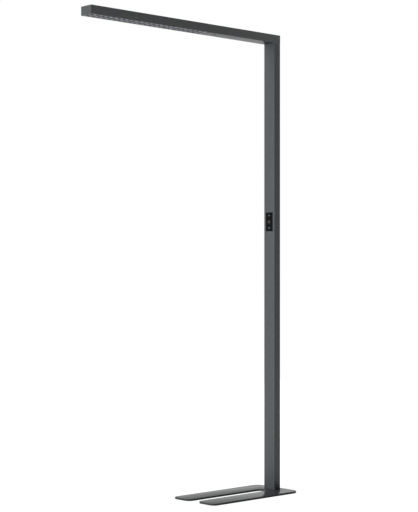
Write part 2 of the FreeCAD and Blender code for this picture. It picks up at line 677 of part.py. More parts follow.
def direct_leds():
    body = new_body("direct_leds")
    z = f"({WEB_BOTTOM} - board_thickness - led_height)"
    y = f"({CELLS_START} + {CELL_PITCH} / 2 - led_size / 2)"
    pair = []
    for side in (-1, 1):
        x = f"({side} * {CELL_PITCH} / 2 - led_size / 2)"
        pair.append(box(body, f"direct_led{side + 1}", (x, y, z), ("led_size", "led_size", "led_height")))
    repeat(body, pair, CELL_PITCH, CELL_COUNT, "direct_led_row")
    return body


UPLIGHT_START = f"({TIP} + uplight_front)"
UPLIGHT_STEP = f"((0 - uplight_back - {UPLIGHT_START}) / uplight_board_count)"


def uplight_boards():
    body = new_body("uplight_boards")
    board = box(body, "uplight_board", (centred("uplight_board_width"), UPLIGHT_START, WEB_TOP),
                ("uplight_board_width", f"({UPLIGHT_STEP} - trim_gap)", "board_thickness"))
    repeat(body, [board], UPLIGHT_STEP, "uplight_board_count", "uplight_board_row")
    return body


def uplight_leds():
    body = new_body("uplight_leds")
    z = f"({WEB_TOP} + board_thickness)"
    y = f"({UPLIGHT_START} + uplight_led_pitch / 2 - led_size / 2)"
    led = box(body, "uplight_led", (centred("led_size"), y, z), ("led_size", "led_size", "led_height"))
    count = f"(floor({UPLIGHT_STEP} * uplight_board_count / uplight_led_pitch))"
    repeat(body, [led], "uplight_led_pitch", count, "uplight_led_row")
    return body


def top_cover():
    body = new_body("top_cover")
    width = f"({BORE_WIDTH} - 2 * trim_gap)"
    length = "(head_reach - 2 * cap_thickness - 2 * trim_gap)"
    box(body, "opal_strip", (centred(width), GRID_START, "(total_height - top_cover_thickness)"),
        (width, length, "top_cover_thickness"))
    return body


def underside_cover():
    """A shallow channel that closes the driver space, with the sensor hole."""
    body = new_body("underside_cover")
    width = f"({BORE_WIDTH} - 2 * trim_gap)"
    length = f"({COVER_END} - {COVER_START})"
    box(body, "cover_skin", (centred(width), COVER_START, MAST_TOP), (width, length, "cover_thickness"))
    lip_length = f"({ARM_FRONT} - slide_gap - {COVER_START})"
    for side in (-1, 1):
        x = centred(width) if side < 0 else f"({width} / 2 - cover_lip)"
        box(body, f"cover_lip{side + 1}", (x, COVER_START, MAST_TOP),
            ("cover_lip", lip_length, "cover_lip_height"))
    cylinder(body, "sensor_hole", ("0", f"(0 - {SENSOR_REACH})", MAST_TOP), "+z",
             "(sensor_radius + hole_gap)",
             "cover_thickness", True)
    return body


def presence_sensor():
    """A domed lens in the underside cover, with its body above."""
    body = new_body("presence_sensor")
    y = f"(0 - {SENSOR_REACH})"
    above = f"({MAST_TOP} + cover_thickness)"
    cylinder(body, "sensor_body", ("0", y, above), "+z", "sensor_flange", "sensor_depth")
    cylinder(body, "sensor_neck", ("0", y, MAST_TOP), "+z", "sensor_radius", "cover_thickness")
    cone(body, "sensor_lens", ("0", y, MAST_TOP), "-z", "sensor_radius", "(sensor_radius / 2)",
         "sensor_bulge")
    return body


DRIVER_END = "(0 - driver_back)"
DRIVER_EARS = {"near": f"({DRIVER_END})", "far": f"({DRIVER_END} - driver_length - driver_ear)"}


def led_driver():
    body = new_body("led_driver")
    start = f"({DRIVER_END} - driver_length)"
    z = f"({WEB_BOTTOM} - driver_height)"
    box(body, "driver_case", (centred("driver_width"), start, z),
        ("driver_width", "driver_length", "driver_height"))
    for name, y in DRIVER_EARS.items():
        box(body, f"driver_ear_{name}",
            (centred("driver_width"), y, f"({WEB_BOTTOM} - driver_ear_thickness)"),
            ("driver_width", "driver_ear", "driver_ear_thickness"))
        cylinder(body, f"driver_hole_{name}", ("(driver_width / 4)", f"({y} + driver_ear / 2)", WEB_BOTTOM),
                 "-z",
                 "(driver_screw_radius + hole_gap)", "driver_ear_thickness", True)
    return body


def driver_screws():
    body = new_body("driver_screws")
    for name, y in DRIVER_EARS.items():
        start = ("(driver_width / 4)", f"({y} + driver_ear / 2)", f"({WEB_BOTTOM} - driver_ear_thickness)")
        cylinder(body, f"driver_screw_head_{name}", start, "-z", "driver_screw_head", "driver_screw_rise")
        cylinder(body, f"driver_screw_shank_{name}", start, "+z", "driver_screw_radius",
                 "driver_ear_thickness")
    return body


def button_z(order):
    return f"(panel_centre + {order} * button_pitch)"


def control_bezel():
    """The black panel in the mast window: a front frame with three openings and a box behind it."""
    body = new_body("control_bezel")
    width = "(panel_width - 2 * panel_gap)"
    height = "(panel_height - 2 * panel_gap)"
    outer_width = "(panel_width + 2 * panel_border)"
    outer_height = "(panel_height + 2 * panel_border)"
    front = new_sketch(body, "bezel_front", "XZ_Plane", f"(0 - {INNER_FACE})")
    rectangle(front, centred(width), f"(panel_centre - {height} / 2)", width, height)
    pad(body, front, "(mast_wall + panel_proud)", "bezel_plate")
    box(body, "bezel_box", (centred(outer_width), INNER_FACE, f"(panel_centre - {outer_height} / 2)"),
        (outer_width, "panel_box_depth", outer_height))
    box(body, "bezel_room", (centred("panel_width"), BEZEL_BACK, "(panel_centre - panel_height / 2)"),
        ("panel_width", "(panel_box_depth - panel_front)", "panel_height"), True)
    opening_width = "(button_width + 2 * button_gap)"
    opening_height = "(button_height + 2 * button_gap)"
    for label, order in BUTTONS.items():
        box(body, "opening_" + label,
            (centred(opening_width), f"({FACE} - panel_proud)",
             f"({button_z(order)} - {opening_height} / 2)"),
            (opening_width, "(mast_wall + panel_proud + panel_front)", opening_height), True)
    for sx in (-1, 1):
        for sz in (-1, 1):
            start = (f"({sx} * (panel_width + panel_border) / 2)", BOX_BACK,
                     f"(panel_centre + {sz} * (panel_height + panel_border) / 2)")
            cylinder(body, f"bezel_thread{sx + 1}{sz + 1}", start, "-y", "(panel_screw_radius + hole_gap)",
                     "(panel_screw_length + hole_gap)", True)
    return body


def push_button(label, order):
    """A key with rounded face corners, a flange that keeps it in the bezel and a stem behind."""
    body = new_body(label)
    face = f"({FACE} - panel_proud - button_proud)"
    low = f"({button_z(order)} - button_height / 2)"
    shape = new_sketch(body, label + "_face", "XZ_Plane", f"(0 - {BEZEL_BACK})")
    rectangle(shape, centred("button_width"), low, "button_width", "button_height")
    key = pad(body, shape, f"({BEZEL_BACK} - {face})", label + "_key")
    depth = value(f"{BEZEL_BACK} - {face}")
    fillet(body, key, lambda e: abs(e.BoundBox.YLength - depth) < 1e-4, "button_round", label + "_corners")
    width = "(button_width + 2 * button_flange)"
    height = "(button_height + 2 * button_flange)"
    box(body, label + "_flange", (centred(width), BEZEL_BACK, f"({button_z(order)} - {height} / 2)"),
        (width, "button_flange_thickness", height))
    box(body, label + "_stem", (centred("stem_size"), FLANGE_BACK, f"({button_z(order)} - stem_size / 2)"),
        ("stem_size", "stem_length", "stem_size"))
    return body


def switch_plunger(label, order):
    body = new_body(label)
    cylinder(body, label + "_pin", ("0", STEM_END, button_z(order)), "+y", "plunger_radius",
             "(button_travel + button_stop_gap + plunger_sunk)")
    return body


def tact_switches():
    body = new_body("tact_switches")
    for label, order in BUTTONS.items():
        low = f"({button_z(order)} - switch_size / 2)"
        box(body, "switch_" + label, (centred("switch_size"), SWITCH_FRONT, low),
            ("switch_size", f"({BOARD_FRONT} - {SWITCH_FRONT})", "switch_size"))
        cylinder(body, "switch_hole_" + label, ("0", SWITCH_FRONT, button_z(order)), "+y",
                 "(plunger_radius + plunger_gap)", "(plunger_sunk + button_travel + plunger_gap)", True)
    return body


def control_board():
    body = new_body("control_board")
    width = "(panel_width - 2 * panel_gap)"
    height = "(panel_height - 2 * panel_gap)"
    box(body, "board_plate", (centred(width), BOARD_FRONT, f"(panel_centre - {height} / 2)"),
        (width, "board_thickness", height))
    return body


def panel_screw_places():
    return [(f"({sx} * (panel_width + panel_border) / 2)", BOX_BACK,
             f"(panel_centre + {sz} * (panel_height + panel_border) / 2)") for sx in (-1, 1) for sz in (-1, 1)]


def control_cover():
    body = new_body("control_cover")
    width = "(panel_width + 2 * panel_border)"
    height = "(panel_height + 2 * panel_border)"
    box(body, "cover_plate_block", (centred(width), BOX_BACK, f"(panel_centre - {height} / 2)"),
        (width, "cover_plate", height))
    for i, start in enumerate(panel_screw_places()):
        cylinder(body, f"cover_hole{i}", start, "+y", "(panel_screw_radius + hole_gap)", "cover_plate", True)
    return body


def panel_screws():
    body = new_body("panel_screws")
    for i, (x, y, z) in enumerate(panel_screw_places()):
        start = (x, f"({y} + cover_plate)", z)
        cylinder(body, f"panel_screw_head{i}", start, "+y", "panel_screw_head", "panel_screw_rise")
        cylinder(body, f"panel_screw_shank{i}", start, "-y", "panel_screw_radius",
                 "(panel_screw_length + cover_plate)")
    return body


def tube_along(label, points, bends, radius):
    """A round lead along straight runs joined by tangent arcs, all in one upright plane."""
    pieces = []
    here = points[0]
    for corner, following, bend in zip(points[1:-1], points[2:], bends):
        before = (corner - here).normalize()
        after = (following - corner).normalize()
        arc_start = corner - before * bend
        arc_end = corner + after * bend
        centre = arc_start + after * bend
        middle = centre + ((corner - centre).normalize()) * bend
        pieces.append(Part.LineSegment(here, arc_start).toShape())
        pieces.append(Part.Arc(arc_start, middle, arc_end).toShape())
        here = arc_end
    pieces.append(Part.LineSegment(here, points[-1]).toShape())
    path = Part.Wire(pieces)
    ring = Part.Wire(Part.Circle(points[0], points[1] - points[0], radius).toShape())
    lead = doc.addObject("Part::Feature", label)
    lead.Label = label
    lead.Shape = path.makePipeShell([ring], True, False)
    lead.Placement = FreeCAD.Placement()
    return lead


def supply_lead():
    """From the inlet up the mast, over the bracket and to the driver."""
    y = value("lead_y")
    top = value(f"{MAST_TOP} + lead_rise")
    inlet = value("inlet_height")
    points = [
        FreeCAD.Vector(0, value(BACK), inlet),
        FreeCAD.Vector(0, y, inlet),
        FreeCAD.Vector(0, y, top),
        FreeCAD.Vector(0, value(DRIVER_END), top),
    ]
    return tube_along("supply_lead", points, [value("lead_bend"), value("lead_top_bend")],
                      value("lead_radius"))


def control_lead():
    """From the button box up the mast beside the supply lead and to the driver."""
    x = value("signal_x")
    y = value("signal_y")
    top = value(f"{MAST_TOP} + lead_rise")
    points = [
        FreeCAD.Vector(x, value(f"{BOX_BACK} + cover_plate"), value("panel_centre + signal_tail")),
        FreeCAD.Vector(x, y, value("panel_centre + signal_tail")),
        FreeCAD.Vector(x, y, top),
        FreeCAD.Vector(x, value(DRIVER_END), top),
    ]
    bends = [value("signal_radius * 2"), value("lead_top_bend")]
    return tube_along("control_lead", points, bends, value("signal_radius"))


parts = [
    base_plate(), base_mat(), base_screws(), mast_foot(), mast_tube(),
    side_screws("foot_screws", FOOT_SCREW_HEIGHTS), side_screws("mast_top_screws", TOP_SCREW_HEIGHTS),
    cable_grommet(), corner_bracket(), bracket_screws(), head_profile(),
    end_cap("tip_cap", "tip"), end_cap("rear_cap", "rear"), cap_screws(),
    louvre_grid(), lens_sheet(), direct_led_boards(), direct_leds(),
    uplight_boards(), uplight_leds(), top_cover(), underside_cover(), presence_sensor(),
    led_driver(), driver_screws(), control_bezel(), tact_switches(), control_board(),
    control_cover(), panel_screws(), supply_lead(), control_lead(),
]
for label, order in BUTTONS.items():
    parts.append(push_button(label, order))
    parts.append(switch_plunger(label.replace("button", "plunger"), order))

doc.recompute()
for item in doc.Objects:
    if "Invalid" in item.State or "Error" in item.State:
        raise RuntimeError(f"{item.Label} did not recompute: {item.State}")
for part in parts:
    if part.Shape.isNull() or not part.Shape.isValid():
        raise RuntimeError(f"{part.Label} has no valid shape")

os.makedirs("parts", exist_ok=True)
for part in parts:
    part.Shape.exportStep(os.path.join("parts", part.Label + ".step"))
    box_size = part.Shape.BoundBox
    print(f"{part.Label}: {len(part.Shape.Solids)} solids, {part.Shape.Volume / 1000:.1f} cm3, "
          f"{box_size.XLength:.1f} x {box_size.YLength:.1f} x {box_size.ZLength:.1f}")
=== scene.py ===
import math

import bmesh
import bpy
from mathutils import Matrix, Vector


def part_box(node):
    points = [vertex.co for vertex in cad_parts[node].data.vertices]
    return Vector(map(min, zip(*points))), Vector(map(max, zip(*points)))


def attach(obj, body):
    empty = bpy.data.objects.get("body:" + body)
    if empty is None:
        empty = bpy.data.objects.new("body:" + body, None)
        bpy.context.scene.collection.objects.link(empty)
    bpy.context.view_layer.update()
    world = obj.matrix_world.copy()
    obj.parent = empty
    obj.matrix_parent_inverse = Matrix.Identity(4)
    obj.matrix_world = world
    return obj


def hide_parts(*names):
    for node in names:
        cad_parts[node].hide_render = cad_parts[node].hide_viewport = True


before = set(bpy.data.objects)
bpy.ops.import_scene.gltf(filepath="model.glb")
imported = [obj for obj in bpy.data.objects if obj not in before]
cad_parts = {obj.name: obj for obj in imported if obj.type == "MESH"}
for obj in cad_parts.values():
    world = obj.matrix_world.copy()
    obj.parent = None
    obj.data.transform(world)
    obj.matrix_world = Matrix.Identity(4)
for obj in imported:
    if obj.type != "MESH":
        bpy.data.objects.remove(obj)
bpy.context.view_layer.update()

bl_info = {
    "name": "Office floor lamp",
    "version": (1, 0, 0),
    "blender": (4, 5, 0),
    "location": "View3D > Sidebar > Floor lamp",
    "description": "Finishes an office floor lamp round its packed frame",
    "category": "Object",
}

MM = 0.001

# Distances under which two points count as one, and by which a point counts as on a line.
MERGE = 1e-6
SPIN_MERGE = 1e-7
ON_LINE = 1e-5

# Fasteners and trim, where the frame's boxes don't give the size. Metres.
SCREW_EDGE = 0.0002
SCREW_STEPS = 36
SOCKET_SIDES = 6
SOCKET_SHARE = 0.6
BASE_SCREW_HEAD = 0.008
BASE_SCREW_SINK = 0.004
BASE_SCREW_SHANK = 0.004
SIDE_SCREW_SINK = 0.0022
SIDE_SCREW_SHANK = 0.0025
GROMMET_BORE = 0.0028
GROMMET_NECK = 0.005
GROMMET_LIP = 0.0005
GROMMET_FLANGE = 0.0015
GROMMET_STEPS = 40
SENSOR_RADIUS = 0.007
SENSOR_NECK = 0.002
SENSOR_RINGS = 6
SENSOR_STEPS = 32
LED_SIZE = 0.0035
LED_RIM = 0.0005
LED_SINK = 0.0002

# Louvre cells: steps up a wall, and how far the wall runs straight before it curves in.
CELL_STEPS = 5
CELL_STRAIGHT = 0.35
CELL_CURVED = 0.65
CELL_CORNER_SEGMENTS = 3

# Symbols on the keys, as shares of half their height or of the stroke.
ARROW_RISE = 0.6
ARROW_STROKE = 1.5
POWER_GAP = math.radians(38)
POWER_STEPS = 28
POWER_BAR_FOOT = 0.25
POWER_BAR_TOP = 1.1

# Patterns in millimetres. The drawn lines are coarser than real ones, so that they show.
CLOUD_MM = 1000 / 9
DRAWN_LINE_MM = 1000 / 600
RIPPLE_MM = 1000 / 60
MILK_MM = 1000 / 25
PHOSPHOR_MM = 1000 / 2500

# Studio: lights in metres and watts, and the photo's camera in pixels of the photo.
FLOOR_HALF = 30.0
FLOOR_GLOW = 1.04
FLOOR_GLOW_SHARE = 0.75
WORLD_LIGHT = 0.35
WORLD_SEEN = 1.0
SUN_STRENGTH = 3.0
SUN_SPREAD = math.radians(30)
SUN_DIRECTION = (0.4, 0.7, -1.0)
AREA_LIGHTS = (
    # name, place, target, size, power
    ("front_light", (-1.0, -10.0, 1.0), (0, 0, 1.0), (7.0, 1.9), 1550.0),
    ("back_light", (-2.5, 4.5, 3.0), (0, 0, 1.2), (3.0, 3.0), 260.0),
)
PHOTO_LONG_SIDE = 512
FOCAL_LENGTH = 1372.56
HORIZON_BELOW_CENTRE = 15.46
SENSOR_MM = 36.0
CAMERA_REACH = 200.0
CAMERA_PLACE = (4.15754, -4.18571, 0.93942)
CAMERA_AZIMUTH = math.radians(47.44)


def low(node):
    """The lowest corner of a frame node, in metres."""
    return Vector(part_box(node)[0])


def high(node):
    """The highest corner of a frame node, in metres."""
    return Vector(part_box(node)[1])


# ---------------------------------------------------------------- properties


def length(name, text, default):
    """A property for a length in metres."""
    return bpy.props.FloatProperty(name=name, description=text, default=default, min=0.0, precision=5,
                                   unit="LENGTH")


def colour(name, text, default):
    """A property for a colour as an sRGB hex value."""
    return bpy.props.StringProperty(name=name, description=text + ", as sRGB hex", default=default)


class LampSizes(bpy.types.PropertyGroup):
    plate_edge: length("Plate edge", "Rounded edge of the base plate", 0.0004)
    profile_edge: length("Profile edge", "Rounded edges of mast, head, underside cover and bezel", 0.0003)
    cap_edge: length("Cap edge", "Rounded edge of the end caps", 0.0002)
    sheet_edge: length("Sheet edge", "Rounded edge of the mat and the opal cover", 0.0005)
    button_edge: length("Button edge", "Rounded edge of the button faces", 0.0007)
    cell_pitch: length("Cell pitch", "Pitch of the louvre cells", 0.0256)
    cell_bar: length("Cell bar", "Flat bar between two cells", 0.0016)
    cell_throat: length("Cell throat", "Opening at the top of a cell", 0.014)
    cell_lip: length("Cell lip", "Upright lip at the mouth of a cell", 0.0008)
    cell_wall: length("Cell wall", "Wall of the louvre moulding", 0.0012)
    cell_corner: length("Cell corner", "Corner radius inside a cell", 0.0022)
    grid_front: length("Grid front rim", "Frame ahead of the first cell", 0.0068)
    uplight_pitch: length("Uplight pitch", "Pitch of the packages of the uplight", 0.028)
    icon_size: length("Icon size", "Height of the printed button symbols", 0.0105)
    icon_stroke: length("Icon stroke", "Line width of the printed symbols", 0.0015)
    icon_proud: length("Icon thickness", "Thickness of the printed symbols", 0.00008)
    socket_radius: length("Socket radius", "Hexagon socket of the countersunk screws", 0.0016)
    base_socket: length("Base socket radius", "Hexagon socket of the base screws", 0.003)


class LampColours(bpy.types.PropertyGroup):
    graphite: colour("Graphite", "Powder coat of mast and head", "#323435")
    base_graphite: colour("Base graphite", "Powder coat of the base plate", "#292B2C")
    louvre: colour("Louvre", "Moulded louvre cells", "#5E5F63")
    panel: colour("Panel", "Satin black of the button panel", "#040405")
    icon: colour("Icon", "Printed symbols", "#4C4D4E")
    opal: colour("Opal", "Uplight cover", "#E9E9E4")
    floor: colour("Floor", "Studio floor", "#F2F2F2")


# ----------------------------------------------------------------- materials


def srgb(text):
    """A linear colour from an sRGB hex value."""
    parts = [int(text[i:i + 2], 16) / 255 for i in (1, 3, 5)]
    linear = [c / 12.92 if c <= 0.04045 else ((c + 0.055) / 1.055) ** 2.4 for c in parts]
    return (*linear, 1.0)


def scale_of(size_mm):
    """The scale at which a pattern repeats about every size_mm."""
    return 1 / (size_mm * MM)


def add(tree, kind, inputs=None, **settings):
    """One node with its settings; an input is a value or the socket that feeds it."""
    node = tree.nodes.new(kind)
    for name, setting in settings.items():
        setattr(node, name, setting)
    for name, source in (inputs or {}).items():
        if isinstance(source, bpy.types.NodeSocket):
            tree.links.new(source, node.inputs[name])
        else:
            node.inputs[name].default_value = source
    return node


def material(name):
    """An empty node material with its output, shader and object coordinates."""
    made = bpy.data.materials.new(name)
    made.use_nodes = True
    tree = made.node_tree
    tree.nodes.clear()
    shader = add(tree, "ShaderNodeBsdfPrincipled")
    output = add(tree, "ShaderNodeOutputMaterial")
    tree.links.new(shader.outputs["BSDF"], output.inputs["Surface"])
    coordinates = add(tree, "ShaderNodeTexCoord")
    return made, tree, shader, coordinates.outputs["Object"]


def set_shader(shader, **values):
    """Sets sockets of the shader, with underscores for the spaces in their names."""
    for name, number in values.items():
        shader.inputs[name.replace("_", " ")].default_value = number


def blend_colours(tree, factor, first, second):
    """A colour that runs from first to second with a factor socket."""
    mix = add(tree, "ShaderNodeMix", {"Factor": factor}, data_type="RGBA")
    mix.inputs["A"].default_value = first
    mix.inputs["B"].default_value = second
    return mix.outputs["Result"]


def shade(value, factor):
    """A colour made lighter or darker by a factor."""
    return (*[min(1.0, c * factor) for c in value[:3]], 1.0)


def powder_coat(name, hex_value, roughness, specular, grain_mm=0.5, relief_mm=0.02, draw=(1, 1, 1)):
    """Powder coat on metal: an even satin skin with a fine orange peel.

    draw stretches the faint lines in its gloss along an extrusion.
    """
    made, tree, shader, place = material(name)
    base = srgb(hex_value)
    peel = add(tree, "ShaderNodeTexNoise", {"Vector": place, "Scale": scale_of(grain_mm), "Detail": 3.0,
                                            "Roughness": 0.55})
    cloud = add(tree, "ShaderNodeTexNoise", {"Vector": place, "Scale": scale_of(CLOUD_MM), "Detail": 3.0})
    stretched = add(tree, "ShaderNodeMapping", {"Vector": place, "Scale": Vector(draw)})
    lines = add(tree, "ShaderNodeTexNoise", {"Vector": stretched.outputs["Vector"],
                                             "Scale": scale_of(DRAWN_LINE_MM), "Detail": 2.0})
    tone = blend_colours(tree, cloud.outputs["Fac"], shade(base, 0.94), shade(base, 1.06))
    speck = add(tree, "ShaderNodeMapRange", {"Value": peel.outputs["Fac"], "From Min": 0.35,
                                             "From Max": 0.7, "To Min": 0.93, "To Max": 1.07})
    toned = add(tree, "ShaderNodeMix", {"Factor": 1.0}, data_type="RGBA", blend_type="MULTIPLY")
    tree.links.new(tone, toned.inputs["A"])
    tree.links.new(speck.outputs["Result"], toned.inputs["B"])
    tree.links.new(toned.outputs["Result"], shader.inputs["Base Color"])
    rough = add(tree, "ShaderNodeMapRange", {"Value": lines.outputs["Fac"], "To Min": roughness - 0.05,
                                             "To Max": roughness + 0.05})
    tree.links.new(rough.outputs["Result"], shader.inputs["Roughness"])
    bump = add(tree, "ShaderNodeBump", {"Height": peel.outputs["Fac"], "Strength": 0.35,
                                        "Distance": relief_mm * MM})
    tree.links.new(bump.outputs["Normal"], shader.inputs["Normal"])
    set_shader(shader, Metallic=0.0, Specular_IOR_Level=specular)
    return made


def moulded(name, hex_value, roughness, specular=0.5, grain_mm=0.6, relief=0.15):
    """Injection-moulded plastic or rubber: a spark-eroded grain in tone, gloss and relief."""
    made, tree, shader, place = material(name)
    base = srgb(hex_value)
    grain = add(tree, "ShaderNodeTexNoise", {"Vector": place, "Scale": scale_of(grain_mm), "Detail": 4.0})
    tone = blend_colours(tree, grain.outputs["Fac"], shade(base, 0.9), shade(base, 1.1))
    tree.links.new(tone, shader.inputs["Base Color"])
    rough = add(tree, "ShaderNodeMapRange", {"Value": grain.outputs["Fac"],
                                             "To Min": max(0.03, roughness - 0.06),
                                             "To Max": roughness + 0.06})
    tree.links.new(rough.outputs["Result"], shader.inputs["Roughness"])
    bump = add(tree, "ShaderNodeBump", {"Height": grain.outputs["Fac"], "Strength": relief,
                                        "Distance": 0.02 * MM})
    tree.links.new(bump.outputs["Normal"], shader.inputs["Normal"])
    set_shader(shader, Specular_IOR_Level=specular)
    return made


def metal(name, hex_value, roughness, grain_mm=0.4):
    """Bare or plated metal: a fine mottle in its tone and gloss."""
    made, tree, shader, place = material(name)
    base = srgb(hex_value)
    mottle = add(tree, "ShaderNodeTexNoise", {"Vector": place, "Scale": scale_of(grain_mm), "Detail": 3.0})
    tone = blend_colours(tree, mottle.outputs["Fac"], shade(base, 0.88), shade(base, 1.08))
    tree.links.new(tone, shader.inputs["Base Color"])
    rough = add(tree, "ShaderNodeMapRange", {"Value": mottle.outputs["Fac"], "To Min": roughness - 0.08,
                                             "To Max": roughness + 0.1})
    tree.links.new(rough.outputs["Result"], shader.inputs["Roughness"])
    set_shader(shader, Metallic=1.0)
    return made


def clear_acrylic():
    """Extruded clear acrylic sheet: barely tinted, with a faint ripple."""
    made, tree, shader, place = material("clear_acrylic_sheet")
    ripple = add(tree, "ShaderNodeTexNoise", {"Vector": place, "Scale": scale_of(RIPPLE_MM), "Detail": 1.0})
    bump = add(tree, "ShaderNodeBump", {"Height": ripple.outputs["Fac"], "Strength": 0.1,
                                        "Distance": 0.1 * MM})
    tree.links.new(bump.outputs["Normal"], shader.inputs["Normal"])
    set_shader(shader, Base_Color=srgb("#F4F7F8"), Roughness=0.08, Transmission_Weight=0.9, IOR=1.49)
    return made


def opal_acrylic(hex_value):
    """Opal acrylic: milky, with a soft satin face and light scattered just under it."""
    made, tree, shader, place = material("opal_acrylic_cover")
    base = srgb(hex_value)
    milk = add(tree, "ShaderNodeTexNoise", {"Vector": place, "Scale": scale_of(MILK_MM), "Detail": 2.0})
    tone = blend_colours(tree, milk.outputs["Fac"], shade(base, 0.97), shade(base, 1.02))
    tree.links.new(tone, shader.inputs["Base Color"])
    bump = add(tree, "ShaderNodeBump", {"Height": milk.outputs["Fac"], "Strength": 0.05,
                                        "Distance": 0.05 * MM})
    tree.links.new(bump.outputs["Normal"], shader.inputs["Normal"])
    set_shader(shader, Roughness=0.38, Subsurface_Weight=0.25, Subsurface_Scale=0.002)
    return made


def circuit_board(name, mask_hex, trace_hex, pitch_mm):
    """Solder mask over copper: broad tracks show as a slightly different tone in straight bands."""
    made, tree, shader, place = material(name)
    mask = srgb(mask_hex)
    tracks = add(tree, "ShaderNodeTexBrick", {"Vector": place, "Color1": mask, "Color2": mask,
                                              "Mortar": srgb(trace_hex), "Scale": scale_of(pitch_mm),
                                              "Mortar Size": 0.04})
    tree.links.new(tracks.outputs["Color"], shader.inputs["Base Color"])
    set_shader(shader, Roughness=0.35)
    return made


def phosphor():
    """Yellow phosphor in clear silicone: fine warm grains under a wet gloss."""
    made, tree, shader, place = material("led_phosphor")
    grains = add(tree, "ShaderNodeTexNoise", {"Vector": place, "Scale": scale_of(PHOSPHOR_MM),
                                              "Detail": 2.0})
    tone = blend_colours(tree, grains.outputs["Fac"], srgb("#D9B33A"), srgb("#F2D765"))
    tree.links.new(tone, shader.inputs["Base Color"])
    set_shader(shader, Roughness=0.3, Coat_Weight=0.4, Coat_Roughness=0.1)
    return made


def make_materials():
    """Every finish by its own name, each set up once."""
    colours = bpy.context.scene.lamp_colours
    along_mast = (1, 1, 0.004)
    along_head = (1, 0.004, 1)
    return {
        # Coated aluminium: a dull sheen that lengthens along each extrusion.
        "mast": powder_coat("graphite_powder_coat_mast", colours.graphite, 0.42, specular=0.27,
                            draw=along_mast),
        "head": powder_coat("graphite_powder_coat_head", colours.graphite, 0.42, specular=0.3,
                            draw=along_head),
        # Coated castings: the same colour, but duller than the extrusions beside them.
        "cap": powder_coat("graphite_powder_coat_cap", colours.graphite, 0.45, specular=0.2),
        # The underside cover: smoother, so that it takes up the pale floor.
        "cover": powder_coat("graphite_satin_cover", colours.graphite, 0.32, specular=0.1, relief_mm=0.01,
                             draw=along_head),
        # Coated steel plate: smooth enough to mirror the floor at a flat angle, dark from above.
        "base": powder_coat("graphite_powder_coat_base", colours.base_graphite, 0.22, specular=0.05,
                            grain_mm=0.7),
        # Rubber: matt, with a grain that breaks up any gleam.
        "mat": moulded("ribbed_rubber_mat", "#1A1A1B", 0.8, specular=0.3, grain_mm=1.2, relief=0.5),
        "rubber": moulded("moulded_rubber", "#161617", 0.65, specular=0.35, grain_mm=0.5, relief=0.3),
        # Moulded plastics: satin, with the soft gleam of a fine eroded mould.
        "louvre": moulded("moulded_satin_louvre", colours.louvre, 0.45, specular=0.06, grain_mm=0.4,
                          relief=0.1),
        "sensor": moulded("smoked_sensor_lens", "#17181A", 0.25, specular=0.15, grain_mm=0.3, relief=0.05),
        "panel": moulded("satin_black_panel", colours.panel, 0.3, specular=0.05, grain_mm=0.8, relief=0.04),
        "button": moulded("satin_black_keys", colours.panel, 0.35, specular=0.07, grain_mm=0.5, relief=0.08),
        "switch": moulded("black_switch_plastic", "#1B1B1C", 0.5),
        "driver": moulded("white_driver_case", "#D8D8D4", 0.45),
        "lead": moulded("soft_lead_jacket", "#202022", 0.55),
        "package": moulded("white_led_package", "#EDEDE8", 0.4),
        # Pad-printed ink: a thin matt grey on the black keys.
        "icon": moulded("pad_printed_ink", colours.icon, 0.5, specular=0.4, grain_mm=0.2, relief=0.05),
        "phosphor": phosphor(),
        "opal": opal_acrylic(colours.opal),
        "clear": clear_acrylic(),
        "white_board": circuit_board("white_solder_mask", "#ECECE8", "#DADAD2", pitch_mm=18.0),
        "green_board": circuit_board("green_solder_mask", "#14502E", "#1E6B3E", pitch_mm=6.0),
        # Metals: a cool bright zinc, a near-black oxide and a rough grey casting.
        "zinc": metal("zinc_plated_steel", "#B9BABD", 0.32),
        "black_steel": metal("blackened_steel", "#2B2B2D", 0.38),
        "cast": metal("as_cast_aluminium", "#A9AAAC", 0.5, grain_mm=0.8),
    }


FINISHES = {}


def finish(name):
    """A finish by its name; all of them are made when the first one is asked for."""
    if not FINISHES:
        FINISHES.update(make_materials())
    return FINISHES[name]


# ------------------------------------------------------------ mesh functions


def vertices_of(geometry):
    """The vertices in what a bmesh operator made."""
    return [item for item in geometry if isinstance(item, bmesh.types.BMVert)]


def block(bm, corner, opposite):
    """A box between two corners; returns its vertices."""
    corner, opposite = Vector(corner), Vector(opposite)
    made = bmesh.ops.create_cube(bm, size=1.0)
    bmesh.ops.scale(bm, vec=opposite - corner, verts=made["verts"])
    bmesh.ops.translate(bm, vec=(corner + opposite) / 2, verts=made["verts"])
    return made["verts"]


def soften(bm, edges, radius, segments=2):
    """A small rounded edge, so that it catches the light."""
    bmesh.ops.bevel(bm, geom=edges, offset=radius, segments=segments, profile=0.5, affect="EDGES",
                    material=-1, clamp_overlap=True)


def sharp_edges(bm, degrees=25.0):
    """The edges at which two faces meet at more than this angle."""
    limit = math.radians(degrees)
    return [e for e in bm.edges if len(e.link_faces) == 2 and e.calc_face_angle(0.0) > limit]


def shade_smooth(mesh, degrees):
    """Smooth faces that break at open edges and where two faces meet at a larger angle."""
    work = bmesh.new()
    work.from_mesh(mesh)
    limit = math.radians(degrees)
    for face in work.faces:
        face.smooth = True
    for edge in work.edges:
        edge.smooth = len(edge.link_faces) == 2 and edge.calc_face_angle(0.0) < limit
    work.to_mesh(mesh)
    work.free()


def build(bm, name, body, finishes, replaces=(), smooth=40.0):
    """Makes an object from a bmesh, gives it its finishes and ties it to its body."""
    mesh = bpy.data.meshes.new(name)
    bmesh.ops.recalc_face_normals(bm, faces=bm.faces)
    bm.to_mesh(mesh)
    bm.free()
    made = bpy.data.objects.new(name, mesh)
    bpy.context.scene.collection.objects.link(made)
    for one in finishes:
        mesh.materials.append(finish(one))
    shade_smooth(mesh, smooth)
    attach(made, body)
    if replaces:
        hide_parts(*replaces)


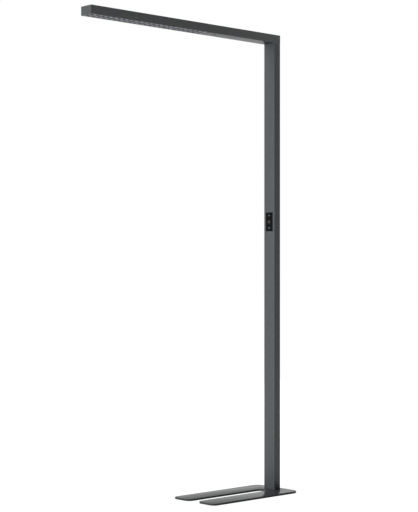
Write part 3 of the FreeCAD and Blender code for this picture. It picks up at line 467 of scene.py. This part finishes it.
def copy_of(node):
    """A merged copy of a frame node's mesh, with its flat triangles joined into faces."""
    bm = bmesh.new()
    bm.from_mesh(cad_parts[node].data)
    bm.transform(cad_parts[node].matrix_world)
    bmesh.ops.remove_doubles(bm, verts=bm.verts, dist=MERGE)
    bmesh.ops.dissolve_limit(bm, angle_limit=math.radians(1.0), use_dissolve_boundaries=False,
                             verts=bm.verts, edges=bm.edges, delimit={"NORMAL"})
    return bm


def softened_node(node, name, body, finish_name, radius):
    """A frame node again, with its hard edges rounded."""
    bm = copy_of(node)
    soften(bm, sharp_edges(bm), radius)
    build(bm, name, body, [finish_name], [node])


def spun(bm, profile, centre, axis, steps):
    """Turns a profile of (radius, height) points round an axis and closes it."""
    axis = Vector(axis).normalized()
    side = axis.orthogonal().normalized()
    centre = Vector(centre)
    points = [bm.verts.new(centre + side * r + axis * h) for r, h in profile]
    edges = [bm.edges.new((a, b)) for a, b in zip(points, points[1:])]
    bmesh.ops.spin(bm, geom=points + edges, cent=centre, axis=axis, angle=2 * math.pi, steps=steps,
                   use_merge=True, use_duplicate=False)
    bmesh.ops.remove_doubles(bm, verts=bm.verts, dist=SPIN_MERGE)


def set_ring(verts, radius, height, sides):
    """Moves verts, each by its own angle, to a circle or to a polygon with that many sides."""
    for vert in verts:
        angle = math.atan2(vert.co.y, vert.co.x) % (2 * math.pi)
        reach = radius
        if sides:
            half = math.pi / sides
            reach *= math.cos(half) / math.cos(angle % (2 * half) - half)
        vert.co = Vector((math.cos(angle) * reach, math.sin(angle) * reach, height))


def countersunk_screw(bm, start, axis, head, sink, shank, depth, socket):
    """A countersunk screw with a hexagon socket, from its face inwards along axis."""
    rings = [(socket, 0.0, SOCKET_SIDES), (head - SCREW_EDGE, 0.0, 0), (head, SCREW_EDGE, 0),
             (shank, sink, 0), (shank, depth - 2 * SCREW_EDGE, 0), (shank - 2 * SCREW_EDGE, depth, 0)]
    circle = bmesh.ops.create_circle(bm, segments=SCREW_STEPS, radius=socket, cap_ends=True)
    verts = circle["verts"]
    set_ring(verts, socket, sink * SOCKET_SHARE, SOCKET_SIDES)
    everything = list(verts)
    loop = list({edge for vert in verts for edge in vert.link_edges})
    for radius, height, sides in rings:
        grown = bmesh.ops.extrude_edge_only(bm, edges=loop)["geom"]
        verts = vertices_of(grown)
        loop = [edge for edge in grown if isinstance(edge, bmesh.types.BMEdge)]
        set_ring(verts, radius, height, sides)
        everything += verts
    bmesh.ops.contextual_create(bm, geom=loop)
    turn = Vector((0, 0, 1)).rotation_difference(Vector(axis)).to_matrix().to_4x4()
    bmesh.ops.transform(bm, matrix=Matrix.Translation(Vector(start)) @ turn, verts=everything)


def louvre_cell(bm, centre, sizes, depth):
    """The skin of one square cell: a flat bar round its mouth and walls that curve in to the throat."""
    mouth = sizes.cell_pitch - sizes.cell_bar
    bmesh.ops.create_grid(bm, x_segments=1, y_segments=1, size=sizes.cell_pitch / 2,
                          matrix=Matrix.Translation(centre))
    bm.faces.ensure_lookup_table()
    face = bm.faces[0]
    bmesh.ops.inset_region(bm, faces=[face], thickness=sizes.cell_bar / 2, use_even_offset=True)
    uprights = []
    for step in range(CELL_STEPS + 1):
        part = step / CELL_STEPS
        drawn_in = CELL_STRAIGHT * part + CELL_CURVED * part ** 2
        opening = mouth + (sizes.cell_throat - mouth) * drawn_in
        rise = Vector((0, 0, sizes.cell_lip + (depth - sizes.cell_lip) * part))
        face = bmesh.ops.extrude_discrete_faces(bm, faces=[face])["faces"][0]
        for vert in face.verts:
            side = math.copysign(1, vert.co.x - centre.x)
            end = math.copysign(1, vert.co.y - centre.y)
            vert.co = centre + Vector((side, end, 0)) * opening / 2 + rise
            uprights += [edge for edge in vert.link_edges if edge not in face.edges]
    bm.faces.remove(face)
    soften(bm, uprights, sizes.cell_corner, CELL_CORNER_SEGMENTS)


def dress(nodes, finish_name):
    """Gives frame nodes that stay as they are their finish."""
    for node in nodes:
        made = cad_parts[node]
        made.data.materials.clear()
        made.data.materials.append(finish(finish_name))


# ----------------------------------------------------------------- operators


class LampOperator(bpy.types.Operator):
    bl_options = {"REGISTER", "UNDO"}


class BasePieces(LampOperator):
    """The forked base plate, the mat under it and the screws that show from below"""
    bl_idname = "lamp.base_pieces"
    bl_label = "Base"

    def execute(self, context):
        sizes = context.scene.lamp_sizes
        softened_node("base_plate", "base_plate_coated", "stand", "base", sizes.plate_edge)
        softened_node("base_mat", "base_mat_rubber", "stand", "mat", sizes.sheet_edge)
        self.screws(sizes.base_socket)
        return {"FINISHED"}

    def screws(self, socket):
        """The four screws up into the foot of the mast."""
        bm = bmesh.new()
        bottom, top = low("base_screws"), high("base_screws")
        for x in (bottom.x + BASE_SCREW_HEAD, top.x - BASE_SCREW_HEAD):
            for y in (bottom.y + BASE_SCREW_HEAD, top.y - BASE_SCREW_HEAD):
                countersunk_screw(bm, (x, y, bottom.z), (0, 0, 1), BASE_SCREW_HEAD, BASE_SCREW_SINK,
                                  BASE_SCREW_SHANK, top.z - bottom.z, socket)
        build(bm, "base_screws_socket", "stand", ["zinc"], ["base_screws"])


class MastPieces(LampOperator):
    """The coated mast, the screws in its back and the cable grommet"""
    bl_idname = "lamp.mast_pieces"
    bl_label = "Mast"

    def execute(self, context):
        sizes = context.scene.lamp_sizes
        softened_node("mast_tube", "mast_tube_coated", "stand", "mast",
                      sizes.profile_edge)
        for node in ("foot_screws", "mast_top_screws"):
            self.screws(node, sizes.socket_radius)
        self.grommet()
        return {"FINISHED"}

    def screws(self, node, socket):
        """Two screws, one above the other, in the back of the mast."""
        bm = bmesh.new()
        bottom, top = low(node), high(node)
        head = (top.x - bottom.x) / 2
        x = (top.x + bottom.x) / 2
        for z in (bottom.z + head, top.z - head):
            countersunk_screw(bm, (x, top.y, z), (0, -1, 0), head, SIDE_SCREW_SINK, SIDE_SCREW_SHANK,
                              top.y - bottom.y, socket)
        build(bm, node + "_socket", "stand", ["black_steel"], [node])

    def grommet(self):
        """A rubber ring with a flange on each side of the mast's wall."""
        bm = bmesh.new()
        bottom, top = low("cable_grommet"), high("cable_grommet")
        outer = (top.x - bottom.x) / 2
        centre = ((top.x + bottom.x) / 2, bottom.y, (top.z + bottom.z) / 2)
        depth = top.y - bottom.y
        bore, neck, lip, flange = GROMMET_BORE, GROMMET_NECK, GROMMET_LIP, GROMMET_FLANGE
        profile = [(bore, lip), (bore + lip, 0), (outer - lip, 0), (outer, lip), (outer, flange),
                   (neck, flange), (neck, depth - flange), (outer, depth - flange),
                   (outer - lip, depth - lip * 0.6), (outer - 2 * lip, depth), (bore + lip, depth),
                   (bore, depth - lip), (bore, lip)]
        spun(bm, profile, centre, (0, 1, 0), GROMMET_STEPS)
        build(bm, "cable_grommet_rubber", "stand", ["rubber"], ["cable_grommet"])


class HeadPieces(LampOperator):
    """The head section, its end caps, the opal cover, the underside cover and the sensor lens"""
    bl_idname = "lamp.head_pieces"
    bl_label = "Head"

    def execute(self, context):
        sizes = context.scene.lamp_sizes
        softened_node("head_profile", "head_profile_coated", "stand", "head",
                      sizes.profile_edge)
        for cap in ("tip_cap", "rear_cap"):
            softened_node(cap, cap + "_coated", "stand", "cap", sizes.cap_edge)
        softened_node("underside_cover", "underside_cover_coated", "stand", "cover",
                      sizes.profile_edge)
        softened_node("top_cover", "top_cover_opal", "stand", "opal", sizes.sheet_edge)
        self.sensor()
        return {"FINISHED"}

    def sensor(self):
        """A shallow dome below the cover, with its neck and flange above it."""
        bm = bmesh.new()
        bottom, top = low("presence_sensor"), high("presence_sensor")
        centre = Vector(((top.x + bottom.x) / 2, (top.y + bottom.y) / 2, bottom.z))
        flange = (top.x - bottom.x) / 2
        bulge = low("underside_cover").z - bottom.z
        angles = [0.5 * math.pi * i / SENSOR_RINGS for i in range(SENSOR_RINGS)]
        profile = [(SENSOR_RADIUS * math.sin(a), bulge * (1 - math.cos(a))) for a in angles]
        profile += [(SENSOR_RADIUS, bulge), (SENSOR_RADIUS, bulge + SENSOR_NECK),
                    (flange, bulge + SENSOR_NECK), (flange, top.z - bottom.z), (0.0, top.z - bottom.z)]
        spun(bm, profile, centre, (0, 0, 1), SENSOR_STEPS)
        build(bm, "presence_sensor_lens", "stand", ["sensor"], ["presence_sensor"],
              smooth=30.0)


class LouvrePieces(LampOperator):
    """The louvre and the light-emitting packages"""
    bl_idname = "lamp.louvre_pieces"
    bl_label = "Louvre"

    def execute(self, context):
        sizes = context.scene.lamp_sizes
        self.louvre(sizes, low("louvre_grid"), high("louvre_grid"))
        self.packages("direct_leds", sizes.cell_pitch, 2, -1)
        self.packages("uplight_leds", sizes.uplight_pitch, 1, 1)
        return {"FINISHED"}

    def louvre(self, sizes, bottom, top):
        """Two rows of cells, a flat rim round them and upright sides, as one thin-walled moulding."""
        pitch = sizes.cell_pitch
        depth = top.z - bottom.z
        start = bottom.y + sizes.grid_front
        count = int((top.y - start) / pitch)
        bm = bmesh.new()
        louvre_cell(bm, Vector((pitch / 2, start + pitch / 2, bottom.z)), sizes, depth)
        for shift, copies in ((Vector((0, pitch, 0)), count), (Vector((-pitch, 0, 0)), 2)):
            first = bm.verts[:] + bm.edges[:] + bm.faces[:]
            for step in range(1, copies):
                grown = bmesh.ops.duplicate(bm, geom=first)["geom"]
                bmesh.ops.translate(bm, vec=shift * step, verts=vertices_of(grown))
        bmesh.ops.remove_doubles(bm, verts=bm.verts, dist=MERGE)
        # The first pass draws the flat rim out to the frame's box, the second raises the sides.
        for rise in (0, depth):
            self.outer_edges_to_box(bm, bottom, top, start, start + count * pitch, pitch, rise)
        bmesh.ops.recalc_face_normals(bm, faces=bm.faces)
        lowest = min(bm.faces, key=lambda f: f.calc_center_median().z)
        if lowest.normal.z > 0:
            bmesh.ops.reverse_faces(bm, faces=bm.faces)
        bmesh.ops.solidify(bm, geom=bm.faces[:], thickness=sizes.cell_wall)
        build(bm, "louvre_grid_moulded", "stand", ["louvre"], ["louvre_grid"],
              smooth=35.0)

    def outer_edges_to_box(self, bm, bottom, top, start, end, half_width, rise):
        """Extrudes the lowest open edges, sets them on the outline of the box and lifts them by rise."""
        edges = [e for e in bm.edges
                 if e.is_boundary and all(abs(v.co.z - bottom.z) < MERGE for v in e.verts)]
        grown = bmesh.ops.extrude_edge_only(bm, edges=edges)["geom"]
        for vert in vertices_of(grown):
            if abs(vert.co.x) > half_width - ON_LINE:
                vert.co.x = math.copysign(top.x, vert.co.x)
            if vert.co.y < start + ON_LINE:
                vert.co.y = bottom.y
            if vert.co.y > end - ON_LINE:
                vert.co.y = top.y
            vert.co.z += rise

    def packages(self, node, pitch, columns, facing):
        """White packages with a sunk square of phosphor on the side that faces up (1) or down (-1)."""
        bottom, top = low(node), high(node)
        count = round((top.y - bottom.y - LED_SIZE) / pitch) + 1
        bm = bmesh.new()
        for column in range(columns):
            x = bottom.x if column == 0 else top.x - LED_SIZE
            for step in range(count):
                y = bottom.y + step * pitch
                verts = block(bm, (x, y, bottom.z), (x + LED_SIZE, y + LED_SIZE, top.z))
                faces = {face for vert in verts for face in vert.link_faces}
                window = max(faces, key=lambda face: face.calc_center_median().z * facing)
                bmesh.ops.inset_region(bm, faces=[window], thickness=LED_RIM, depth=-LED_SINK)
                window.material_index = 1
        build(bm, node + "_packages", "stand", ["package", "phosphor"], [node])


class PanelPieces(LampOperator):
    """The satin black bezel, the three keys and their printed symbols"""
    bl_idname = "lamp.panel_pieces"
    bl_label = "Button panel"

    def execute(self, context):
        sizes = context.scene.lamp_sizes
        softened_node("control_bezel", "control_bezel_gloss", "stand", "panel",
                      sizes.profile_edge)
        for name in ("button_up", "button_power", "button_down"):
            self.key(name, sizes)
            self.symbol(name, sizes)
        return {"FINISHED"}

    def key(self, name, sizes):
        """A key with a rounded rim round its face."""
        bm = copy_of(name)
        face = low(name).y
        rim = [e for e in bm.edges if all(abs(v.co.y - face) < ON_LINE for v in e.verts)]
        soften(bm, rim, sizes.button_edge, 3)
        build(bm, name + "_key", name, ["button"], [name])

    def symbol(self, name, sizes):
        """The sign on a key; it rides on the key's body."""
        bm = bmesh.new()
        bottom, top = low(name), high(name)
        centre = Vector((0, bottom.y, (bottom.z + top.z) / 2))
        if name == "button_power":
            self.power_symbol(bm, centre, sizes)
        else:
            self.arrow_symbol(bm, centre, sizes, 1 if name == "button_up" else -1)
        build(bm, name.replace("button", "symbol"), name, ["icon"])

    def printed(self, bm, proud):
        """Gives flat printed shapes on a key's face their thickness, towards the viewer."""
        grown = bmesh.ops.extrude_face_region(bm, geom=bm.faces[:])["geom"]
        bmesh.ops.translate(bm, vec=(0, -proud, 0), verts=vertices_of(grown))

    def arrow_symbol(self, bm, centre, sizes, direction):
        """An open arrow that points up or down."""
        half = sizes.icon_size / 2
        rise = half * ARROW_RISE * direction
        stroke = sizes.icon_stroke * ARROW_STROKE
        inner = rise * (1 - 2 * stroke / half)
        outline = [(-half, -rise), (0, rise), (half, -rise), (half - stroke, -rise), (0, inner),
                   (stroke - half, -rise)]
        bm.faces.new([bm.verts.new(centre + Vector((x, 0, z))) for x, z in outline])
        self.printed(bm, sizes.icon_proud)

    def power_symbol(self, bm, centre, sizes):
        """A ring with a gap at the top and a short bar in the gap."""
        outer = sizes.icon_size / 2
        inner = outer - sizes.icon_stroke
        start = Vector((math.sin(POWER_GAP), 0, math.cos(POWER_GAP)))
        ends = [bm.verts.new(centre + start * radius) for radius in (inner, outer)]
        edge = bm.edges.new(ends)
        bmesh.ops.spin(bm, geom=ends + [edge], cent=centre, axis=(0, 1, 0),
                       angle=2 * math.pi - 2 * POWER_GAP, steps=POWER_STEPS)
        half = sizes.icon_stroke / 2
        foot = outer * POWER_BAR_FOOT
        head = outer * POWER_BAR_TOP
        bar = [(-half, foot), (half, foot), (half, head), (-half, head)]
        bm.faces.new([bm.verts.new(centre + Vector((x, 0, z))) for x, z in bar])
        self.printed(bm, sizes.icon_proud)


class InnerPieces(LampOperator):
    """Finishes of the frame nodes that stay as they are"""
    bl_idname = "lamp.inner_pieces"
    bl_label = "Inner pieces"

    def execute(self, context):
        dress(["mast_foot", "corner_bracket"], "cast")
        dress(["bracket_screws", "cap_screws", "driver_screws", "panel_screws"], "zinc")
        dress(["lens_sheet"], "clear")
        dress(["direct_led_boards", "uplight_boards"], "white_board")
        dress(["control_board"], "green_board")
        dress(["led_driver", "control_cover"], "driver")
        dress(["tact_switches", "plunger_up", "plunger_power", "plunger_down"], "switch")
        dress(["supply_lead", "control_lead"], "lead")
        return {"FINISHED"}


class Studio(LampOperator):
    """Floor, world, lamps and camera"""
    bl_idname = "lamp.studio"
    bl_label = "Studio"

    def execute(self, context):
        scene = context.scene
        self.floor(scene)
        self.world(scene)
        for light in AREA_LIGHTS:
            self.area_light(*light)
        self.top_light()
        self.camera(scene)
        scene.view_settings.view_transform = "Standard"
        return {"FINISHED"}

    def floor(self, scene):
        """A wide matt floor that the camera and reflections see as white, with the lamp's shadow on it."""
        bm = bmesh.new()
        bmesh.ops.create_grid(bm, x_segments=1, y_segments=1, size=FLOOR_HALF)
        mesh = bpy.data.meshes.new("studio_floor")
        bm.to_mesh(mesh)
        bm.free()
        made = bpy.data.objects.new("studio_floor", mesh)
        scene.collection.objects.link(made)
        paper = bpy.data.materials.new("matte_paper_floor")
        paper.use_nodes = True
        tree = paper.node_tree
        tree.nodes.clear()
        matte = add(tree, "ShaderNodeBsdfDiffuse", {"Color": srgb(scene.lamp_colours.floor)})
        glow = add(tree, "ShaderNodeEmission", {"Color": (1, 1, 1, 1), "Strength": FLOOR_GLOW})
        ray = add(tree, "ShaderNodeLightPath")
        seen = self.either(tree, ray.outputs["Is Camera Ray"], ray.outputs["Is Glossy Ray"])
        share = add(tree, "ShaderNodeMath", {0: seen, 1: FLOOR_GLOW_SHARE}, operation="MULTIPLY")
        mix = add(tree, "ShaderNodeMixShader", {0: share.outputs[0], 1: matte.outputs[0],
                                                2: glow.outputs[0]})
        add(tree, "ShaderNodeOutputMaterial", {"Surface": mix.outputs[0]})
        mesh.materials.append(paper)

    def world(self, scene):
        """A dim even light, seen as white by the camera, in reflections and through clear plastic."""
        world = bpy.data.worlds.new("studio_world")
        world.use_nodes = True
        tree = world.node_tree
        tree.nodes.clear()
        ray = add(tree, "ShaderNodeLightPath")
        seen = self.either(tree, ray.outputs["Is Camera Ray"], ray.outputs["Is Glossy Ray"])
        shown = self.either(tree, seen, ray.outputs["Is Transmission Ray"])
        strength = add(tree, "ShaderNodeMapRange", {"Value": shown, "To Min": WORLD_LIGHT,
                                                    "To Max": WORLD_SEEN})
        light = add(tree, "ShaderNodeBackground", {"Color": (1, 1, 1, 1),
                                                   "Strength": strength.outputs["Result"]})
        add(tree, "ShaderNodeOutputWorld", {"Surface": light.outputs[0]})
        scene.world = world

    def either(self, tree, first, second):
        """1 where the ray is of the first or the second kind."""
        return add(tree, "ShaderNodeMath", {0: first, 1: second}, operation="MAXIMUM").outputs[0]

    def top_light(self):
        """A broad soft sun from above the tip, which lays the lamp's shadow on the floor."""
        data = bpy.data.lights.new("top_light", "SUN")
        data.energy = SUN_STRENGTH
        data.angle = SUN_SPREAD
        made = bpy.data.objects.new("top_light", data)
        bpy.context.scene.collection.objects.link(made)
        made.rotation_euler = Vector(SUN_DIRECTION).to_track_quat("-Z", "Y").to_euler()
        made.visible_glossy = False

    def area_light(self, name, place, target, size, power):
        """A soft rectangle of light that doesn't show in reflections."""
        data = bpy.data.lights.new(name, "AREA")
        data.shape = "RECTANGLE"
        data.size, data.size_y = size
        data.energy = power
        made = bpy.data.objects.new(name, data)
        bpy.context.scene.collection.objects.link(made)
        made.location = place
        made.rotation_euler = (Vector(target) - Vector(place)).to_track_quat("-Z", "Y").to_euler()
        made.visible_glossy = False

    def camera(self, scene):
        """A level camera with the photo's lens, at its place round the lamp."""
        data = bpy.data.cameras.new("photo_camera")
        data.sensor_width = SENSOR_MM
        data.lens = FOCAL_LENGTH / PHOTO_LONG_SIDE * SENSOR_MM
        data.shift_y = HORIZON_BELOW_CENTRE / PHOTO_LONG_SIDE
        data.clip_end = CAMERA_REACH
        made = bpy.data.objects.new("photo_camera", data)
        scene.collection.objects.link(made)
        made.location = CAMERA_PLACE
        made.rotation_euler = (math.radians(90), 0, CAMERA_AZIMUTH)
        scene.camera = made


STEPS = (BasePieces, MastPieces, HeadPieces, LouvrePieces, PanelPieces, InnerPieces, Studio)


class LampPanel(bpy.types.Panel):
    """Lists the steps that make the lamp"""
    bl_idname = "VIEW3D_PT_floor_lamp"
    bl_label = "Floor lamp"
    bl_space_type = "VIEW_3D"
    bl_region_type = "UI"
    bl_category = "Floor lamp"

    def draw(self, context):
        for step in STEPS:
            self.layout.operator(step.bl_idname)
        for group in (context.scene.lamp_sizes, context.scene.lamp_colours):
            for name in group.__annotations__:
                self.layout.prop(group, name)


CLASSES = (LampSizes, LampColours, *STEPS, LampPanel)


def register():
    for one in CLASSES:
        bpy.utils.register_class(one)
    bpy.types.Scene.lamp_sizes = bpy.props.PointerProperty(type=LampSizes)
    bpy.types.Scene.lamp_colours = bpy.props.PointerProperty(type=LampColours)


def unregister():
    del bpy.types.Scene.lamp_colours
    del bpy.types.Scene.lamp_sizes
    for one in reversed(CLASSES):
        bpy.utils.unregister_class(one)


def main():
    """Makes the whole lamp and its studio."""
    register()
    for step in STEPS:
        family, name = step.bl_idname.split(".")
        getattr(getattr(bpy.ops, family), name)()


if __name__ == "__main__":
    main()
